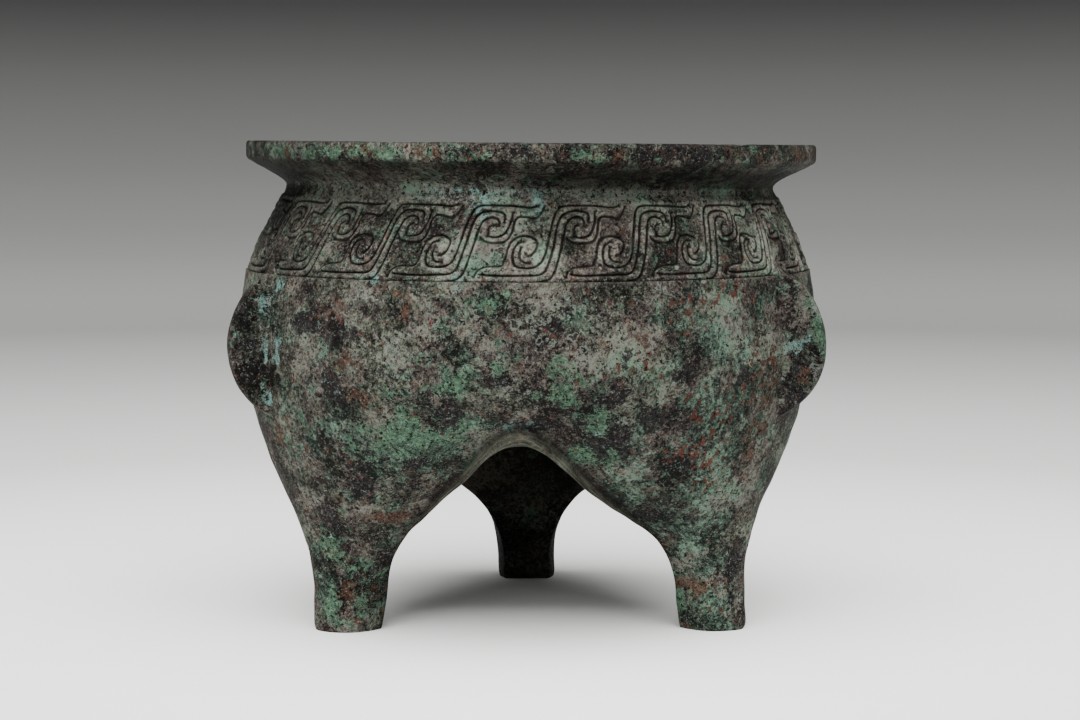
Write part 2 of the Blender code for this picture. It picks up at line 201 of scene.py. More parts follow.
# -------- where the minerals lie
# Each patch: azimuth in degrees, height, half-width round the vessel, half-height, strength.
PATCHES = {
    "mint": ((244, 62, 16, 7, 0.9), (255, 79, 6, 5, 1), (264, 83, 4, 3, 0.9), (278, 80, 5, 8, 1),
             (284, 68, 4, 5, 0.9), (263, 101, 5, 3, 1), (218, 24, 4, 6, 1), (214, 8, 5, 5, 1),
             (287, 55, 7, 4, 1), (321, 8, 4, 4, 0.9), (222, 67, 5, 4, 0.8), (248, 73, 7, 4, 0.9),
             (228, 142, 7, 2, 0.9), (241, 142, 8, 2, 1), (257, 143, 8, 2, 0.9)),
    "teal": ((309, 92, 15, 14, 1), (313, 69, 16, 14, 1), (306, 46, 16, 12, 1), (318, 31, 7, 8, 1),
             (320, 12, 7, 8, 1), (235, 59, 18, 8, 1), (252, 55, 9, 8, 1), (215, 14, 6, 9, 1),
             (288, 82, 5, 6, 0.7), (290, 60, 10, 7, 0.8), (216, 143, 14, 3, 0.7)),
    "dark": ((224, 94, 6, 4, 1), (235, 92, 7, 3, 1), (230, 75, 6, 6, 1), (272, 92, 7, 6, 1),
             (252, 69, 7, 4, 1), (264, 79, 8, 2, 1), (273, 66, 10, 3, 1), (286, 73, 5, 4, 1),
             (290, 60, 9, 5, 1), (299, 68, 9, 4, 1), (302, 80, 4, 4, 0.9), (316, 79, 4, 5, 0.9),
             (231, 46, 7, 5, 1), (245, 54, 7, 2, 0.9), (220, 37, 3, 7, 1), (221, 21, 5, 5, 0.7),
             (308, 38, 7, 5, 0.9), (327, 20, 3, 7, 1), (250, 122, 6, 5, 0.7), (300, 143, 12, 2, 0.8)),
    "rust": ((230, 98, 7, 4, 1), (246, 100, 6, 5, 0.8), (235, 84, 4, 3, 0.9), (237, 75, 4, 3, 1),
             (246, 77, 4, 3, 1), (258, 92, 3, 3, 0.9), (230, 36, 5, 3, 1), (213, 60, 5, 6, 0.9),
             (324, 78, 4, 14, 1), (321, 62, 4, 9, 1), (291, 92, 8, 5, 0.5), (218, 12, 4, 4, 0.8),
             (321, 14, 4, 3, 1), (295, 143, 9, 2, 0.8), (312, 143, 9, 2, 0.9), (332, 143, 12, 2, 0.9)),
    "red": ((301, 100, 12, 8, 0.9), (313, 103, 10, 7, 1), (293, 83, 8, 6, 0.7), (308, 72, 14, 9, 1),
            (307, 58, 12, 8, 1), (314, 50, 9, 7, 0.9), (320, 80, 6, 12, 1), (238, 79, 4, 3, 0.9),
            (217, 92, 2, 3, 0.9), (310, 115, 14, 8, 0.4)),
    "rings": ((273, 96, 13, 7, 1), (264, 84, 4, 3, 1), (279, 91, 6, 5, 1)),
    "pale": ((241, 103, 7, 2, 0.9), (244, 86, 6, 6, 0.7), (269, 76, 8, 3, 0.8), (295, 103, 7, 3, 1),
             (290, 88, 8, 6, 0.5), (264, 63, 9, 2, 0.8), (246, 143, 4, 2, 1), (256, 131.5, 30, 3, 1),
             (252, 131.5, 9, 2.2, 1), (290, 131, 26, 3, 0.6)),
    "cyan": ((214, 104, 3, 4, 1), (260, 127, 4, 3, 0.9), (272, 128, 2, 4, 1), (257, 107, 2, 3, 0.9),
             (240, 107, 2, 3, 0.9), (268, 65, 5, 2, 1), (216, 85, 2, 6, 1), (256, 131.5, 30, 2, 0.6)),
}
# The same for the left and right flanges, by distance from the vessel's axis instead of azimuth.
FLANGE_PATCHES = {
    90.0: {"dark": ((93, 90, 5, 8, 0.8),), "teal": ((95, 78, 5, 6, 0.8),),
           "cyan": ((97, 95, 2, 4, 0.6),)},
    210.0: {"cyan": ((89, 86, 3, 5, 1), (88, 70, 4, 3, 1), (91, 98, 3, 3, 0.8)),
            "dark": ((92, 78, 3, 8, 1), (96, 96, 3, 6, 0.8), (97, 74, 3, 7, 0.5)),
            "teal": ((96, 86, 5, 6, 1),), "pale": ((90, 97, 4, 5, 1),)},
    330.0: {"mint": ((100, 84, 2, 6, 1), (96, 101, 3, 3, 1), (99, 93, 2, 4, 0.8)),
            "pale": ((98, 98, 4, 4, 1), (99, 80, 3, 7, 1)),
            "dark": ((91, 97, 4, 6, 1), (93, 76, 4, 7, 1), (89, 70, 3, 6, 1)),
            "red": ((97, 92, 2, 3, 1), (96, 88, 2, 3, 1)), "rust": ((96, 77, 3, 5, 1),),
            "cyan": ((92, 86, 5, 3, 0.8),)},
}
HIDDEN_AZ = (345.0, 560.0)               # azimuths that the front view doesn't show


def strewn_patches():
    """The same kinds of patch, strewn over the back of the vessel and round its lip."""
    draw = random.Random(21).uniform
    found = {}
    for kind, patches in PATCHES.items():
        found[kind] = list(patches)
        for _ in range(len(patches)):
            found[kind].append((draw(*HIDDEN_AZ), draw(8.0, 104.0), draw(5.0, 13.0), draw(4.0, 9.0),
                                draw(0.5, 1.0)))
    for kind in ("mint", "dark", "rust"):
        for _ in range(34):
            found[kind].append((draw(0.0, 360.0), draw(140.5, 145.0), draw(2.5, 5.5), 2.2,
                                draw(0.35, 0.75)))
    return found


ALL_PATCHES = strewn_patches()


def mineral_masks(points, flange=None):
    """For each kind of mineral, how much of it lies at each point, before the shader breaks it up."""
    azimuth = azimuth_of(points)
    radius = reach_of(points)
    masks = {}
    for kind, patches in ALL_PATCHES.items():
        total = np.zeros(len(points))
        for at, z, wide, tall, strength in FLANGE_PATCHES[flange].get(kind, ()) if flange else patches:
            if flange:
                along = radius - at
            else:
                along = np.radians((azimuth - at + 180.0) % 360.0 - 180.0) * radius
            total += strength * np.exp(-(along / wide) ** 2 - ((points[:, 2] - z) / tall) ** 2)
        masks[kind] = np.minimum(total, 1.0)
    return masks


def painted_light_and_shade(points, proud, flange):
    """Painted light and shade: how much of its colour each part of the surface keeps, zone by zone and
    from side to side, darker under the rim, in hollows and on the back leg, lighter where the front is
    lit.
    """
    x = points[:, 0]
    z = points[:, 2]
    azimuth = azimuth_of(points) % 360.0
    radius = reach_of(points)

    # parts of the front, from side to side
    right = rise(x, -30.0, 30.0)
    far_left = fall(x, -75.0, -48.0)
    left = fall(x, -36.0, -2.0)
    # a painted highlight a little left of the front's middle
    painted_highlight = np.exp(-((x + 17.0) / 15.0) ** 2)

    # and from the lip downwards
    lip = rise(z, 139.8, 141.0)
    flare = rise(z, 133.4, 135.0) * (1.0 - lip)
    low_flare = flare * fall(z, 136.8, 138.2)
    cove = rise(z, 132.0, 133.0) * fall(z, 133.6, 134.8)
    neck = rise(z, 128.5, 129.5) * fall(z, 132.0, 133.0)
    band_top = rise(z, 122.0, 125.0) * fall(z, 128.5, 129.5)
    belly = rise(z, 25.0, 45.0) * fall(z, 104.0, 108.0)
    leg = fall(z, 20.0, 45.0)

    keep = 1.0 - lip * (0.04 + 0.2 * right + 0.36 * far_left)
    keep *= 1.0 - 0.4 * rise(z, 144.8, 145.4)
    keep *= 1.0 - flare * (0.48 + 0.22 * far_left)
    keep *= 1.0 + low_flare * (0.55 * painted_highlight + 0.2 * left - 0.5 * rise(x, -4.0, 10.0))
    keep *= 1.0 + (flare - low_flare) * 0.5 * rise(x, 30.0, 45.0)
    keep *= 1.0 - cove * (0.75 - 0.45 * left - 0.55 * painted_highlight)
    keep *= 1.0 + neck * (0.95 * painted_highlight - 0.28)
    keep *= 1.0 - band_top * 0.28 * (1.0 - painted_highlight) * fall(x, 30.0, 45.0)
    # engraved ribbons lighter than their ground, partly their own smoother tone and partly painted light,
    # and a little darker at the far left, painted shade
    keep *= 1.0 + proud * (0.38 - 0.45 * fall(x, -64.0, -44.0))
    keep *= 1.0 - 0.12 * belly * rise(x, -20.0, 50.0) + 0.08 * fall(z, 50.0, 70.0)
    keep *= 1.0 + 0.12 * leg * right
    if flange:
        keep *= 1.0 - 0.1 * rise(radius, 88.5, 92.5)
    back_leg = np.exp(-((azimuth - LEG_AZ[0]) / 45.0) ** 2) * fall(z, 30.0, 60.0) * (radius < 72.0)
    return keep * (1.0 - 0.6 * back_leg)


# -------- lobed body and legs
# Rings by their leg-centre, half-way and between-legs columns, then the roll under each arch; then
# each leg's own rings, along and across the leg: lobe, half-way, corner, roll and inner face.
OUTER = {
    "rings": (((87.0, BODY_TOP),) * 3,
              ((88.8, 84.5), (88.2, 84.5), (87.0, 84.5)),
              ((86.6, 63.0), (82.5, 63.0), (73.0, 65.3))),
    "roll": (66.0, 58.9),
    "hub": 54.5,
    "hub_inner": (35.0, 55.5),
    "legs": (
        ((82.0, 0.0, 46.0), (68.4, 29.2, 46.0), (46.6, 39.0, 46.0), (43.8, 35.2, 43.4), (45.5, 0.0, 40.5)),
        ((76.2, 0.0, 29.0), (67.4, 14.2, 29.0), (54.0, 17.2, 29.0), (52.3, 14.6, 27.6), (52.2, 0.0, 25.0)),
        ((73.8, 0.0, 13.0), (66.6, 9.0, 13.0), (55.6, 8.4, 13.0), (54.4, 6.6, 13.0), (53.4, 0.0, 13.0)),
        ((74.1, 0.0, 2.6), (66.9, 8.6, 2.6), (56.6, 7.7, 2.6), (55.4, 5.9, 2.6), (54.6, 0.0, 2.6)),
        ((72.9, 0.0, 0.0), (66.5, 7.5, 0.0), (57.4, 6.7, 0.0), (56.5, 5.0, 0.0), (55.9, 0.0, 0.0))),
    "crease": (0.9, 0.7, 0.35, 0.2, 0.2),
    "foot_crease": 0.35,
}
INNER = {
    "rings": (((JOINT_R, BODY_TOP),) * 3,
              ((84.9, 86.0), (84.7, 86.0), (84.0, 86.0)),
              ((83.4, 63.5), (79.2, 64.0), (68.5, 68.5))),
    "roll": (60.0, 64.5),
    "hub": 58.2,
    "hub_inner": (38.0, 60.0),
    "legs": (
        ((78.4, 0.0, 46.0), (67.0, 25.5, 48.0), (50.5, 33.0, 53.0), (50.3, 22.0, 50.0), (50.5, 0.0, 46.0)),
        ((72.8, 0.0, 30.0), (67.0, 9.5, 31.5), (59.5, 9.5, 33.0), (58.0, 5.5, 32.0), (57.0, 0.0, 31.0)),
        ((69.8, 0.0, 23.5), (67.4, 4.5, 23.5), (62.4, 4.5, 23.5), (61.2, 2.5, 23.5), (60.2, 0.0, 23.5))),
    "crease": (0.0, 0.0, 0.0),
    "foot_crease": 0.0,
}


def mirrored(spot):
    """The same spot on a leg's other side."""
    return (spot[0], -spot[1], spot[2])


def lobed_skin(shape, levels):
    """Points and faces of a smooth skin of twelve columns that parts into three leg tubes.

    The last result counts up from each arch's outer edge (0) over its lower edge (1) to the inside (2).
    """
    points = []
    faces = []
    rings = []

    def put(point):
        points.append(point)
        return len(points) - 1

    for lobe, half, valley in shape["rings"]:
        spots = (lobe, half, valley, half) * 3
        rings.append([put(polar(radius, LEG_AZ[0] + 30.0 * c, z)) for c, (radius, z) in enumerate(spots)])
    for upper, lower in zip(rings, rings[1:]):
        for c in range(12):
            d = (c + 1) % 12
            faces.append((upper[c], upper[d], lower[d], lower[c]))
    base = rings[-1]
    radius, z = shape["roll"]
    roll = {c: put(polar(radius, LEG_AZ[0] + 30.0 * c, z)) for c in (2, 6, 10)}
    hub = put(Vector((0.0, AXIS_Y, shape["hub"])))
    radius, z = shape["hub_inner"]
    hub_inner = [put(polar(radius, azimuth, z)) for azimuth in LEG_AZ]
    sharp = {}
    depths = {**{v: 1.0 for v in roll.values()}, hub: 2.2, **{v: 2.0 for v in hub_inner}}
    for leg, azimuth in enumerate(LEG_AZ):
        c = 4 * leg
        before = (c - 2) % 12
        after = (c + 2) % 12
        tube = [base[before], base[(c - 1) % 12], base[c], base[(c + 1) % 12], base[after],
                roll[after], hub_inner[leg], roll[before]]
        faces.append((hub, hub_inner[leg], roll[after], hub_inner[(leg + 1) % 3]))
        for depth, (lobe, half, corner, under, inner) in enumerate(shape["legs"]):
            ring = (mirrored(corner), mirrored(half), lobe, half, corner, under, inner, mirrored(under))
            lower = [put(leg_point(azimuth, *spot)) for spot in ring]
            for i in range(8):
                j = (i + 1) % 8
                faces.append((tube[i], tube[j], lower[j], lower[i]))
            depths.update({lower[5]: 1.0, lower[6]: 2.0, lower[7]: 1.0})
            for side in (0, 4):
                sharp[tuple(sorted((tube[side], lower[side])))] = shape["crease"][depth]
            tube = lower
        middle = put(polar(middle_radius(points, tube, azimuth), azimuth, points[tube[2]].z))
        for i in (7, 1, 3, 5):
            faces.append((tube[i], tube[(i + 1) % 8], tube[(i + 2) % 8], middle))
        for i in range(8):
            sharp[tuple(sorted((tube[i], tube[(i + 1) % 8])))] = shape["foot_crease"]
    points = [nudged(p) for p in points]

    mesh = bpy.data.meshes.new("Cage")
    mesh.from_pydata([p * MM for p in points], [], faces)
    layer = mesh.attributes.new("crease_edge", "FLOAT", "EDGE")
    for edge in mesh.edges:
        layer.data[edge.index].value = sharp.get(tuple(sorted(edge.vertices)), 0.0)
    layer = mesh.attributes.new("under", "FLOAT", "POINT")
    for v, value in depths.items():
        layer.data[v].value = value
    cage = placed("Cage", mesh)
    sub = cage.modifiers.new("Smooth", "SUBSURF")
    sub.levels = levels
    graph = bpy.context.evaluated_depsgraph_get()
    for _ in range(12):
        graph.update()
        shown = cage.evaluated_get(graph).to_mesh()
        moved = [points[i] * MM - shown.vertices[i].co for i in range(len(points))]
        for i, step in enumerate(moved):
            mesh.vertices[i].co += step
        mesh.update()
    graph.update()
    shown = cage.evaluated_get(graph).to_mesh()
    skin = np.array([v.co[:] for v in shown.vertices]) / MM
    quads = [tuple(f.vertices) for f in shown.polygons]
    across = np.zeros(len(skin), np.float32)
    shown.attributes["under"].data.foreach_get("value", across)
    bpy.data.objects.remove(cage)
    bpy.data.meshes.remove(mesh)
    return skin, quads, across.astype(float)


def middle_radius(points, tube, azimuth):
    """How far out the middle of a leg's last ring lies."""
    away = Vector((math.cos(math.radians(azimuth)), math.sin(math.radians(azimuth)), 0.0))
    spots = [(points[v] - Vector((0.0, AXIS_Y, 0.0))).dot(away) for v in tube]
    return (max(spots) + min(spots)) / 2.0


def nudged(point):
    """The front arch stands a little left of the middle between its two legs."""
    turn = math.degrees(angle_of(point)) % 360.0 - 270.0
    tall = rise(point.z, 18.0, 56.0) * fall(point.z, 70.0, 100.0)
    near = rise(math.hypot(point.x, point.y - AXIS_Y), 15.0, 50.0)
    shoulder = 1.7 * math.exp(-((turn + 20.0) / 9.0) ** 2) * rise(point.z, 32.0, 43.0) * near
    shoulder *= fall(point.z, 56.0, 64.0)
    return point + Vector((-ARCH_SHIFT * math.exp(-(turn / 36.0) ** 2) * tall * near, 0.0, shoulder))


def cast_true(points):
    """The casting's own small faults: the rim dips to the right, and the legs are turned a little."""
    x = points[:, 0]
    y = points[:, 1] - AXIS_Y
    z = points[:, 2]
    turn = math.radians(1.1) * fall(z, 10.0, 45.0)
    x, y = x * np.cos(turn) - y * np.sin(turn), x * np.sin(turn) + y * np.cos(turn)
    lobe = rise(x, 40.0, 75.0) * rise(z, 25.0, 38.0) * fall(z, 62.0, 80.0)
    x = x + np.interp(z, (0.0, 20.0, 30.0, 75.0, 85.0, 108.0, 130.0, 145.0),
                      (0.0, -0.2, -0.4, -0.4, -0.45, -0.3, 0.45, 0.7)) - 0.9 * lobe
    z = z - (0.0082 * x + 0.2) * rise(z, 100.0, 134.0)
    return np.stack((x, y + AXIS_Y, z), 1)


def rim_loop(points, quads):
    """The open top edge of a skin, in order of azimuth."""
    uses = {}
    for f in quads:
        for a, b in zip(f, f[1:] + f[:1]):
            key = (min(a, b), max(a, b))
            uses[key] = uses.get(key, 0) + 1
    return by_azimuth({v for key, n in uses.items() if n == 1 for v in key}, points)


def body_and_legs():
    outer, outer_faces, across = lobed_skin(OUTER, 4)
    inner, inner_faces, _ = lobed_skin(INNER, 3)
    outer_top = rim_loop(outer, outer_faces)
    inner_top = rim_loop(inner, inner_faces)

    normals = point_normals(outer, outer_faces)
    if normals[:, 2].mean() > 0.0:
        normals = -normals
    fade = fall(outer[:, 2], BODY_TOP - 8.0, BODY_TOP - 2.0)
    moved = rumple(outer, normals, ((38.0, 0.9), (14.0, 0.45), (5.5, 0.22)))
    outer = outer + (moved - outer) * fade[:, None]
    outer[outer[:, 2] < SOLE, 2] = 0.0
    outer[outer_top, 2] = BODY_TOP
    inner[inner_top, 2] = BODY_TOP

    shift = len(outer)
    points = np.vstack((outer, inner))
    faces = outer_faces + [tuple(v + shift for v in f) for f in inner_faces]
    faces += ring_between(outer_top, [v + shift for v in inner_top], points)

    inside = np.append(np.zeros(len(outer)), np.ones(len(inner)))
    down = np.append(np.clip(-normals[:, 2], 0.0, 1.0), np.zeros(len(inner)))
    across = np.append(across, np.full(len(inner), 3.0))
    z = points[:, 2]
    high = rise(z, 26.0, 40.0)
    edge = {v for f in outer_faces if max(across[v] for v in f) > 1e-4 for v in f if across[v] < 1e-4}
    gap = np.full(len(points), 1e9)
    for v in edge:
        gap = np.minimum(gap, ((points - points[v]) ** 2).sum(1))
    # edge: a pale painted highlight line along the body's top, under the band's border; arch: the strip
    # under each arch's crease, lighter partly by its own worn colour and partly by painted light; crease:
    # a painted shade line along the crease; down and hub: soot and painted shade on what faces down and
    # under the belly
    return points, faces, {"inside": inside, "down": down, "across": across,
                           "edge": 0.8 * (1.0 - inside) * rise(z, 105.2, 106.5),
                           "arch": rise(across, 0.0, 0.14) * fall(across, 1.1, 1.5) * high,
                           "crease": np.exp(-gap / 1.9 ** 2) * high * (1.0 - inside),
                           "hub": (1.0 - inside) * fall(reach_of(points), 46.0, 62.0)}


def ring_between(one, two, points):
    """Triangles between two closed loops that are both in order of azimuth."""
    def turn_to(loop, k):
        return angle_of(points[loop[k % len(loop)]]) + (2.0 * math.pi if k >= len(loop) else 0.0)

    faces = []
    i = 0
    j = 0
    while i < len(one) or j < len(two):
        a = one[i % len(one)]
        b = two[j % len(two)]
        turn_a = turn_to(one, i + 1)
        turn_b = turn_to(two, j + 1)
        if j >= len(two) or (i < len(one) and turn_a <= turn_b):
            faces.append((a, one[(i + 1) % len(one)], b))
            i += 1
        else:
            faces.append((a, two[(j + 1) % len(two)], b))
            j += 1
    return faces


# -------- engraved shoulder
# Centre lines of one S-scroll's engraved lines: along the band, and up its slope.
GROOVES = (
    ((16.1, 21.0), (16.3, 22.0), (15.7, 23.0), (14.2, 23.5), (12.6, 23.2), (11.3, 22.0), (10.6, 20.0),
     (9.7, 16.0), (8.5, 11.0), (7.4, 7.2), (6.2, 4.9), (4.4, 4.0), (3.0, 3.9)),
    ((17.6, 22.2), (17.7, 24.0), (16.8, 24.9), (14.0, 25.3), (11.6, 25.0), (9.8, 24.1), (8.6, 21.5),
     (7.45, 16.0), (6.0, 10.4), (4.9, 7.4), (3.4, 6.1), (0.0, 5.85), (-9.0, 5.7), (-13.0, 6.0)),
    ((27.3, 27.2), (25.5, 26.6), (20.0, 27.0), (14.0, 27.1), (10.5, 27.0), (8.7, 26.1), (7.3, 23.0),
     (6.3, 19.0), (5.7, 15.9), (5.0, 13.0), (3.9, 10.0), (2.0, 8.5), (-0.1, 8.2), (-2.0, 8.4),
     (-3.3, 9.3), (-3.9, 11.5), (-3.6, 13.8), (-2.6, 15.4), (-1.2, 16.0)),
    ((11.1, 17.2), (12.2, 16.1), (14.7, 15.6), (17.7, 15.9), (19.1, 16.8), (20.0, 18.6), (20.4, 20.6),
     (20.7, 22.6), (21.8, 23.8), (24.5, 23.6), (26.3, 23.3), (27.6, 24.0), (28.7, 25.4), (29.3, 26.8)),
    ((19.8, 24.8), (19.6, 22.5), (18.8, 20.0), (17.9, 18.4), (16.5, 17.6), (14.5, 17.3), (13.2, 17.7)),
    ((-14.3, 5.2), (-13.9, 6.6), (-12.8, 7.7), (-11.0, 8.3), (-8.0, 8.6), (-6.6, 8.9), (-6.1, 10.3),
     (-5.6, 12.3), (-5.3, 14.0), (-4.6, 15.8), (-3.3, 17.3), (-1.2, 17.9), (0.4, 17.7), (1.7, 17.2),
     (2.5, 16.3), (2.7, 15.0), (2.2, 13.3), (1.2, 12.2), (0.5, 11.9)),
    ((-1.6, 14.2), (-2.0, 12.4), (-1.6, 10.8), (-0.4, 9.9), (1.0, 10.0)),
    ((13.1, 19.6), (13.4, 20.6), (14.4, 21.2)),
)
# sunk ground under each upper spiral, and over each lower one when turned about the motif's centre
GROUND = ((8.9, 9.0), (9.7, 13.0), (10.3, 16.0), (11.1, 17.2), (12.2, 16.1), (14.7, 15.6), (17.7, 15.9),
          (18.9, 16.3), (19.2, 14.0), (19.0, 12.3), (18.5, 10.3), (17.9, 8.9), (16.7, 8.7), (13.7, 8.4),
          (11.9, 7.8), (10.7, 6.6), (10.0, 5.0), (8.4, 6.0))
GROUND_DEEP = 0.55
MOTIF_CENTRE = (7.45, 15.9)
NEIGHBOURS = (-PITCH, 0.0, PITCH, 2.0 * PITCH)
SEAM = ((9.0, 3.25), (9.0, 4.1), (9.9, 8.4), (12.4, 12.0), (17.6, 13.6), (19.7, 16.4),
        (21.6, 19.2), (27.2, 21.4), (29.9, 25.0), (30.3, 28.3), (30.3, 28.9))
TOP_LEDGE = 0.35  # step from the band's top edge down to the plain neck
BAND_LOW = SEAM[0][1]
BAND_HIGH = SEAM[-1][1]


def distance_to(points, line):
    """Distance from each point to a line of many short pieces."""
    nearest = np.full(len(points), 1e9)
    for a, b in zip(line[:-1], line[1:]):
        d = b - a
        t = np.clip(((points - a) @ d) / max(float(d @ d), 1e-12), 0.0, 1.0)
        gap = points - (a + t[:, None] * d)
        nearest = np.minimum(nearest, np.hypot(gap[:, 0], gap[:, 1]))
    return nearest


def inside_of(points, loop):
    """Whether each point lies inside a closed loop."""
    within = np.zeros(len(points), bool)
    x, y = points[:, 0], points[:, 1]
    for (xa, ya), (xb, yb) in zip(loop, np.roll(loop, -1, axis=0)):
        crosses = (ya > y) != (yb > y)
        with np.errstate(divide="ignore", invalid="ignore"):
            at = xa + (y - ya) * (xb - xa) / (yb - ya)
        within ^= crosses & (x < at)
    return within


def band_relief(points):
    """For each point of the flat band: its depth, and how much it is groove, ribbon, and worn edge that
    also carries a painted highlight.
    """
    nearest = np.full(len(points), 1e9)
    for path in GROOVES:
        line = spline(path, 0.8)
        for shift in NEIGHBOURS:
            nearest = np.minimum(nearest, distance_to(points, line + (shift, 0.0)))
    cut = fall(nearest, 0.05, GROOVE_HALF)
    rounded = np.exp(-np.maximum(nearest - GROOVE_HALF, 0.0) / 0.55)
    centre = np.array(MOTIF_CENTRE)
    ground = spline(GROUND + GROUND[:1], 0.8)
    sunk = np.zeros(len(points))
    for loop in (ground, 2.0 * centre - ground):
        for shift in NEIGHBOURS:
            moved = loop + (shift, 0.0)
            gap = distance_to(points, moved)
            sunk = np.maximum(sunk, np.where(inside_of(points, moved), rise(gap, 0.0, 0.5), 0.0))
    border = fall(points[:, 1], BAND_LOW + 0.35, BAND_LOW + 1.1)
    ledge = rise(points[:, 1], BAND_HIGH - 0.7, BAND_HIGH)
    line = np.maximum(cut, border)
    depth = GROOVE_DEEP * line + 0.34 * rounded + GROUND_DEEP * sunk + TOP_LEDGE * ledge
    worn = np.exp(-((nearest - 0.8) / 0.3) ** 2) * (1.0 - sunk)
    return depth, np.maximum(line, 0.27 * sunk), np.maximum(1.0 - sunk - cut, 0.0), worn


def motif_tile():
    """One motif as flat triangles: points along the band and up its slope, and faces."""
    points = []
    edges = []

    def put(x, y):
        points.append((x, y))
        return len(points) - 1

    def chain(ids):
        edges.extend(zip(ids, ids[1:]))

    def row(y, x0, x1, parts):
        return [put(x0 + (x1 - x0) * k / parts, y) for k in range(1, parts)]

    seam = spline(SEAM[1:-1], 0.8)
    seam = np.vstack(([SEAM[0]], seam, [SEAM[-1]]))
    side_a = [put(x, y) for x, y in seam]
    side_b = [put(x + PITCH, y) for x, y in seam]
    parts = COLUMNS
    bottom = row(BAND_LOW, seam[0][0], seam[0][0] + PITCH, parts)
    top = row(BAND_HIGH, seam[-1][0], seam[-1][0] + PITCH, parts)
    outline = side_a[:1] + bottom + side_b + top[::-1] + side_a[:0:-1]
    chain(outline + outline[:1])
    chain(side_a[1:2] + row(SEAM[1][1], seam[1][0], seam[1][0] + PITCH, 3 * parts) + side_b[1:2])
    chain(side_a[-2:-1] + row(SEAM[-2][1], seam[-2][0], seam[-2][0] + PITCH, parts) + side_b[-2:-1])

    lines = []
    for path in GROOVES:
        line = spline(path, 0.6) + (PITCH, 0.0)
        lines.append(line)
        step = np.gradient(line, axis=0)
        across = np.stack((-step[:, 1], step[:, 0]), 1) / np.linalg.norm(step, axis=1)[:, None]
        first, last = put(*line[0]), put(*line[-1])
        for share in (-1.0, -0.45, 0.0, 0.45, 1.0):
            side = line[1:-1] + across[1:-1] * share * GROOVE_HALF
            chain([first] + [put(x, y) for x, y in side] + [last])

    spacing = 0.95
    grid = []
    for k, y in enumerate(np.arange(BAND_LOW + 1.2, BAND_HIGH - 1.0, spacing * 0.87)):
        for x in np.arange(seam[:, 0].min() - 1.0, seam[:, 0].max() + PITCH + 1.0, spacing):
            grid.append((x + (k % 2) * spacing / 2.0, y))
    grid = np.array(grid)
    loop = np.array([points[i] for i in outline])
    keep = inside_of(grid, loop) & (distance_to(grid, np.vstack((loop, loop[:1]))) > 0.45)
    for line in lines:
        for shift in (-PITCH, 0.0, PITCH):
            keep &= distance_to(grid, line + (shift, 0.0)) > GROOVE_HALF + 0.28
    for x, y in grid[keep]:
        put(x, y)
    flat, _, faces, origin, _, _ = geometry.delaunay_2d_cdt([Vector(p) for p in points], edges,
                                                            [outline], 1, 1e-4)
    now = {old: new for new, sources in enumerate(origin) for old in sources}
    pairs = {now[b]: now[a] for a, b in zip(side_a, side_b)}
    low = [now[i] for i in side_a[:1] + bottom]
    high = [now[i] for i in side_a[-1:] + top]
    return np.array([p[:] for p in flat]), [tuple(f) for f in faces], pairs, low, high


PROFILE_LINE = spline(SHOULDER, 0.4)[::-1]


def shoulder_radius(z):
    return np.interp(z, PROFILE_LINE[:, 0], PROFILE_LINE[:, 1])


def band_points(x, slope, depth):
    """Wrap points of the flat band onto the shoulder, sunk along the surface's own normal."""
    z = BAND_V0 + slope * BAND_RISE
    lean = np.arctan2(shoulder_radius(z - 1.0) - shoulder_radius(z + 1.0), 2.0)
    turn = x / MOTIF_R + MOTIF_TURN
    radius = shoulder_radius(z) - depth * np.cos(lean)
    z = z - depth * np.sin(lean)
    return np.stack((radius * np.cos(turn), AXIS_Y + radius * np.sin(turn), z), 1)


# the rest of the section, from the band's top edge over the lip and down the inside
NECK = ((75.45, 130.5), (75.1, 131.4), (74.95, 132.2), (75.0, 132.8), (75.3, 133.25), (75.8, 133.85),
        (77.2, 134.9), (79.4, 136.15), (81.9, 137.4), (84.2, 138.5), (85.9, 139.45), (86.9, 140.0),
        (RIM_R - 0.2, 140.65))
LIP = ((RIM_R, 141.4), (RIM_R, 142.5), (RIM_R, 143.6), (RIM_R - 0.08, 144.7), (RIM_R - 0.35, 145.3),
       (RIM_R - 0.9, 145.55))
INNER_WALL = ((86.0, 145.3), (84.4, 144.1), (81.8, 141.9), (79.0, 139.5), (76.2, 137.1), (74.1, 135.4),
              (72.8, 134.1), (72.0, 132.8), (71.8, 131.6), (72.0, 130.3), (72.8, 128.4), (74.3, 125.4),
              (76.1, 121.7), (77.9, 118.0), (79.6, 114.5), (81.2, 111.1))
JOINT = ((82.6, 108.0), (JOINT_R, BODY_TOP), (84.2, 105.4), (86.0, 105.6))
RIM_PROFILE = NECK + LIP + INNER_WALL + JOINT


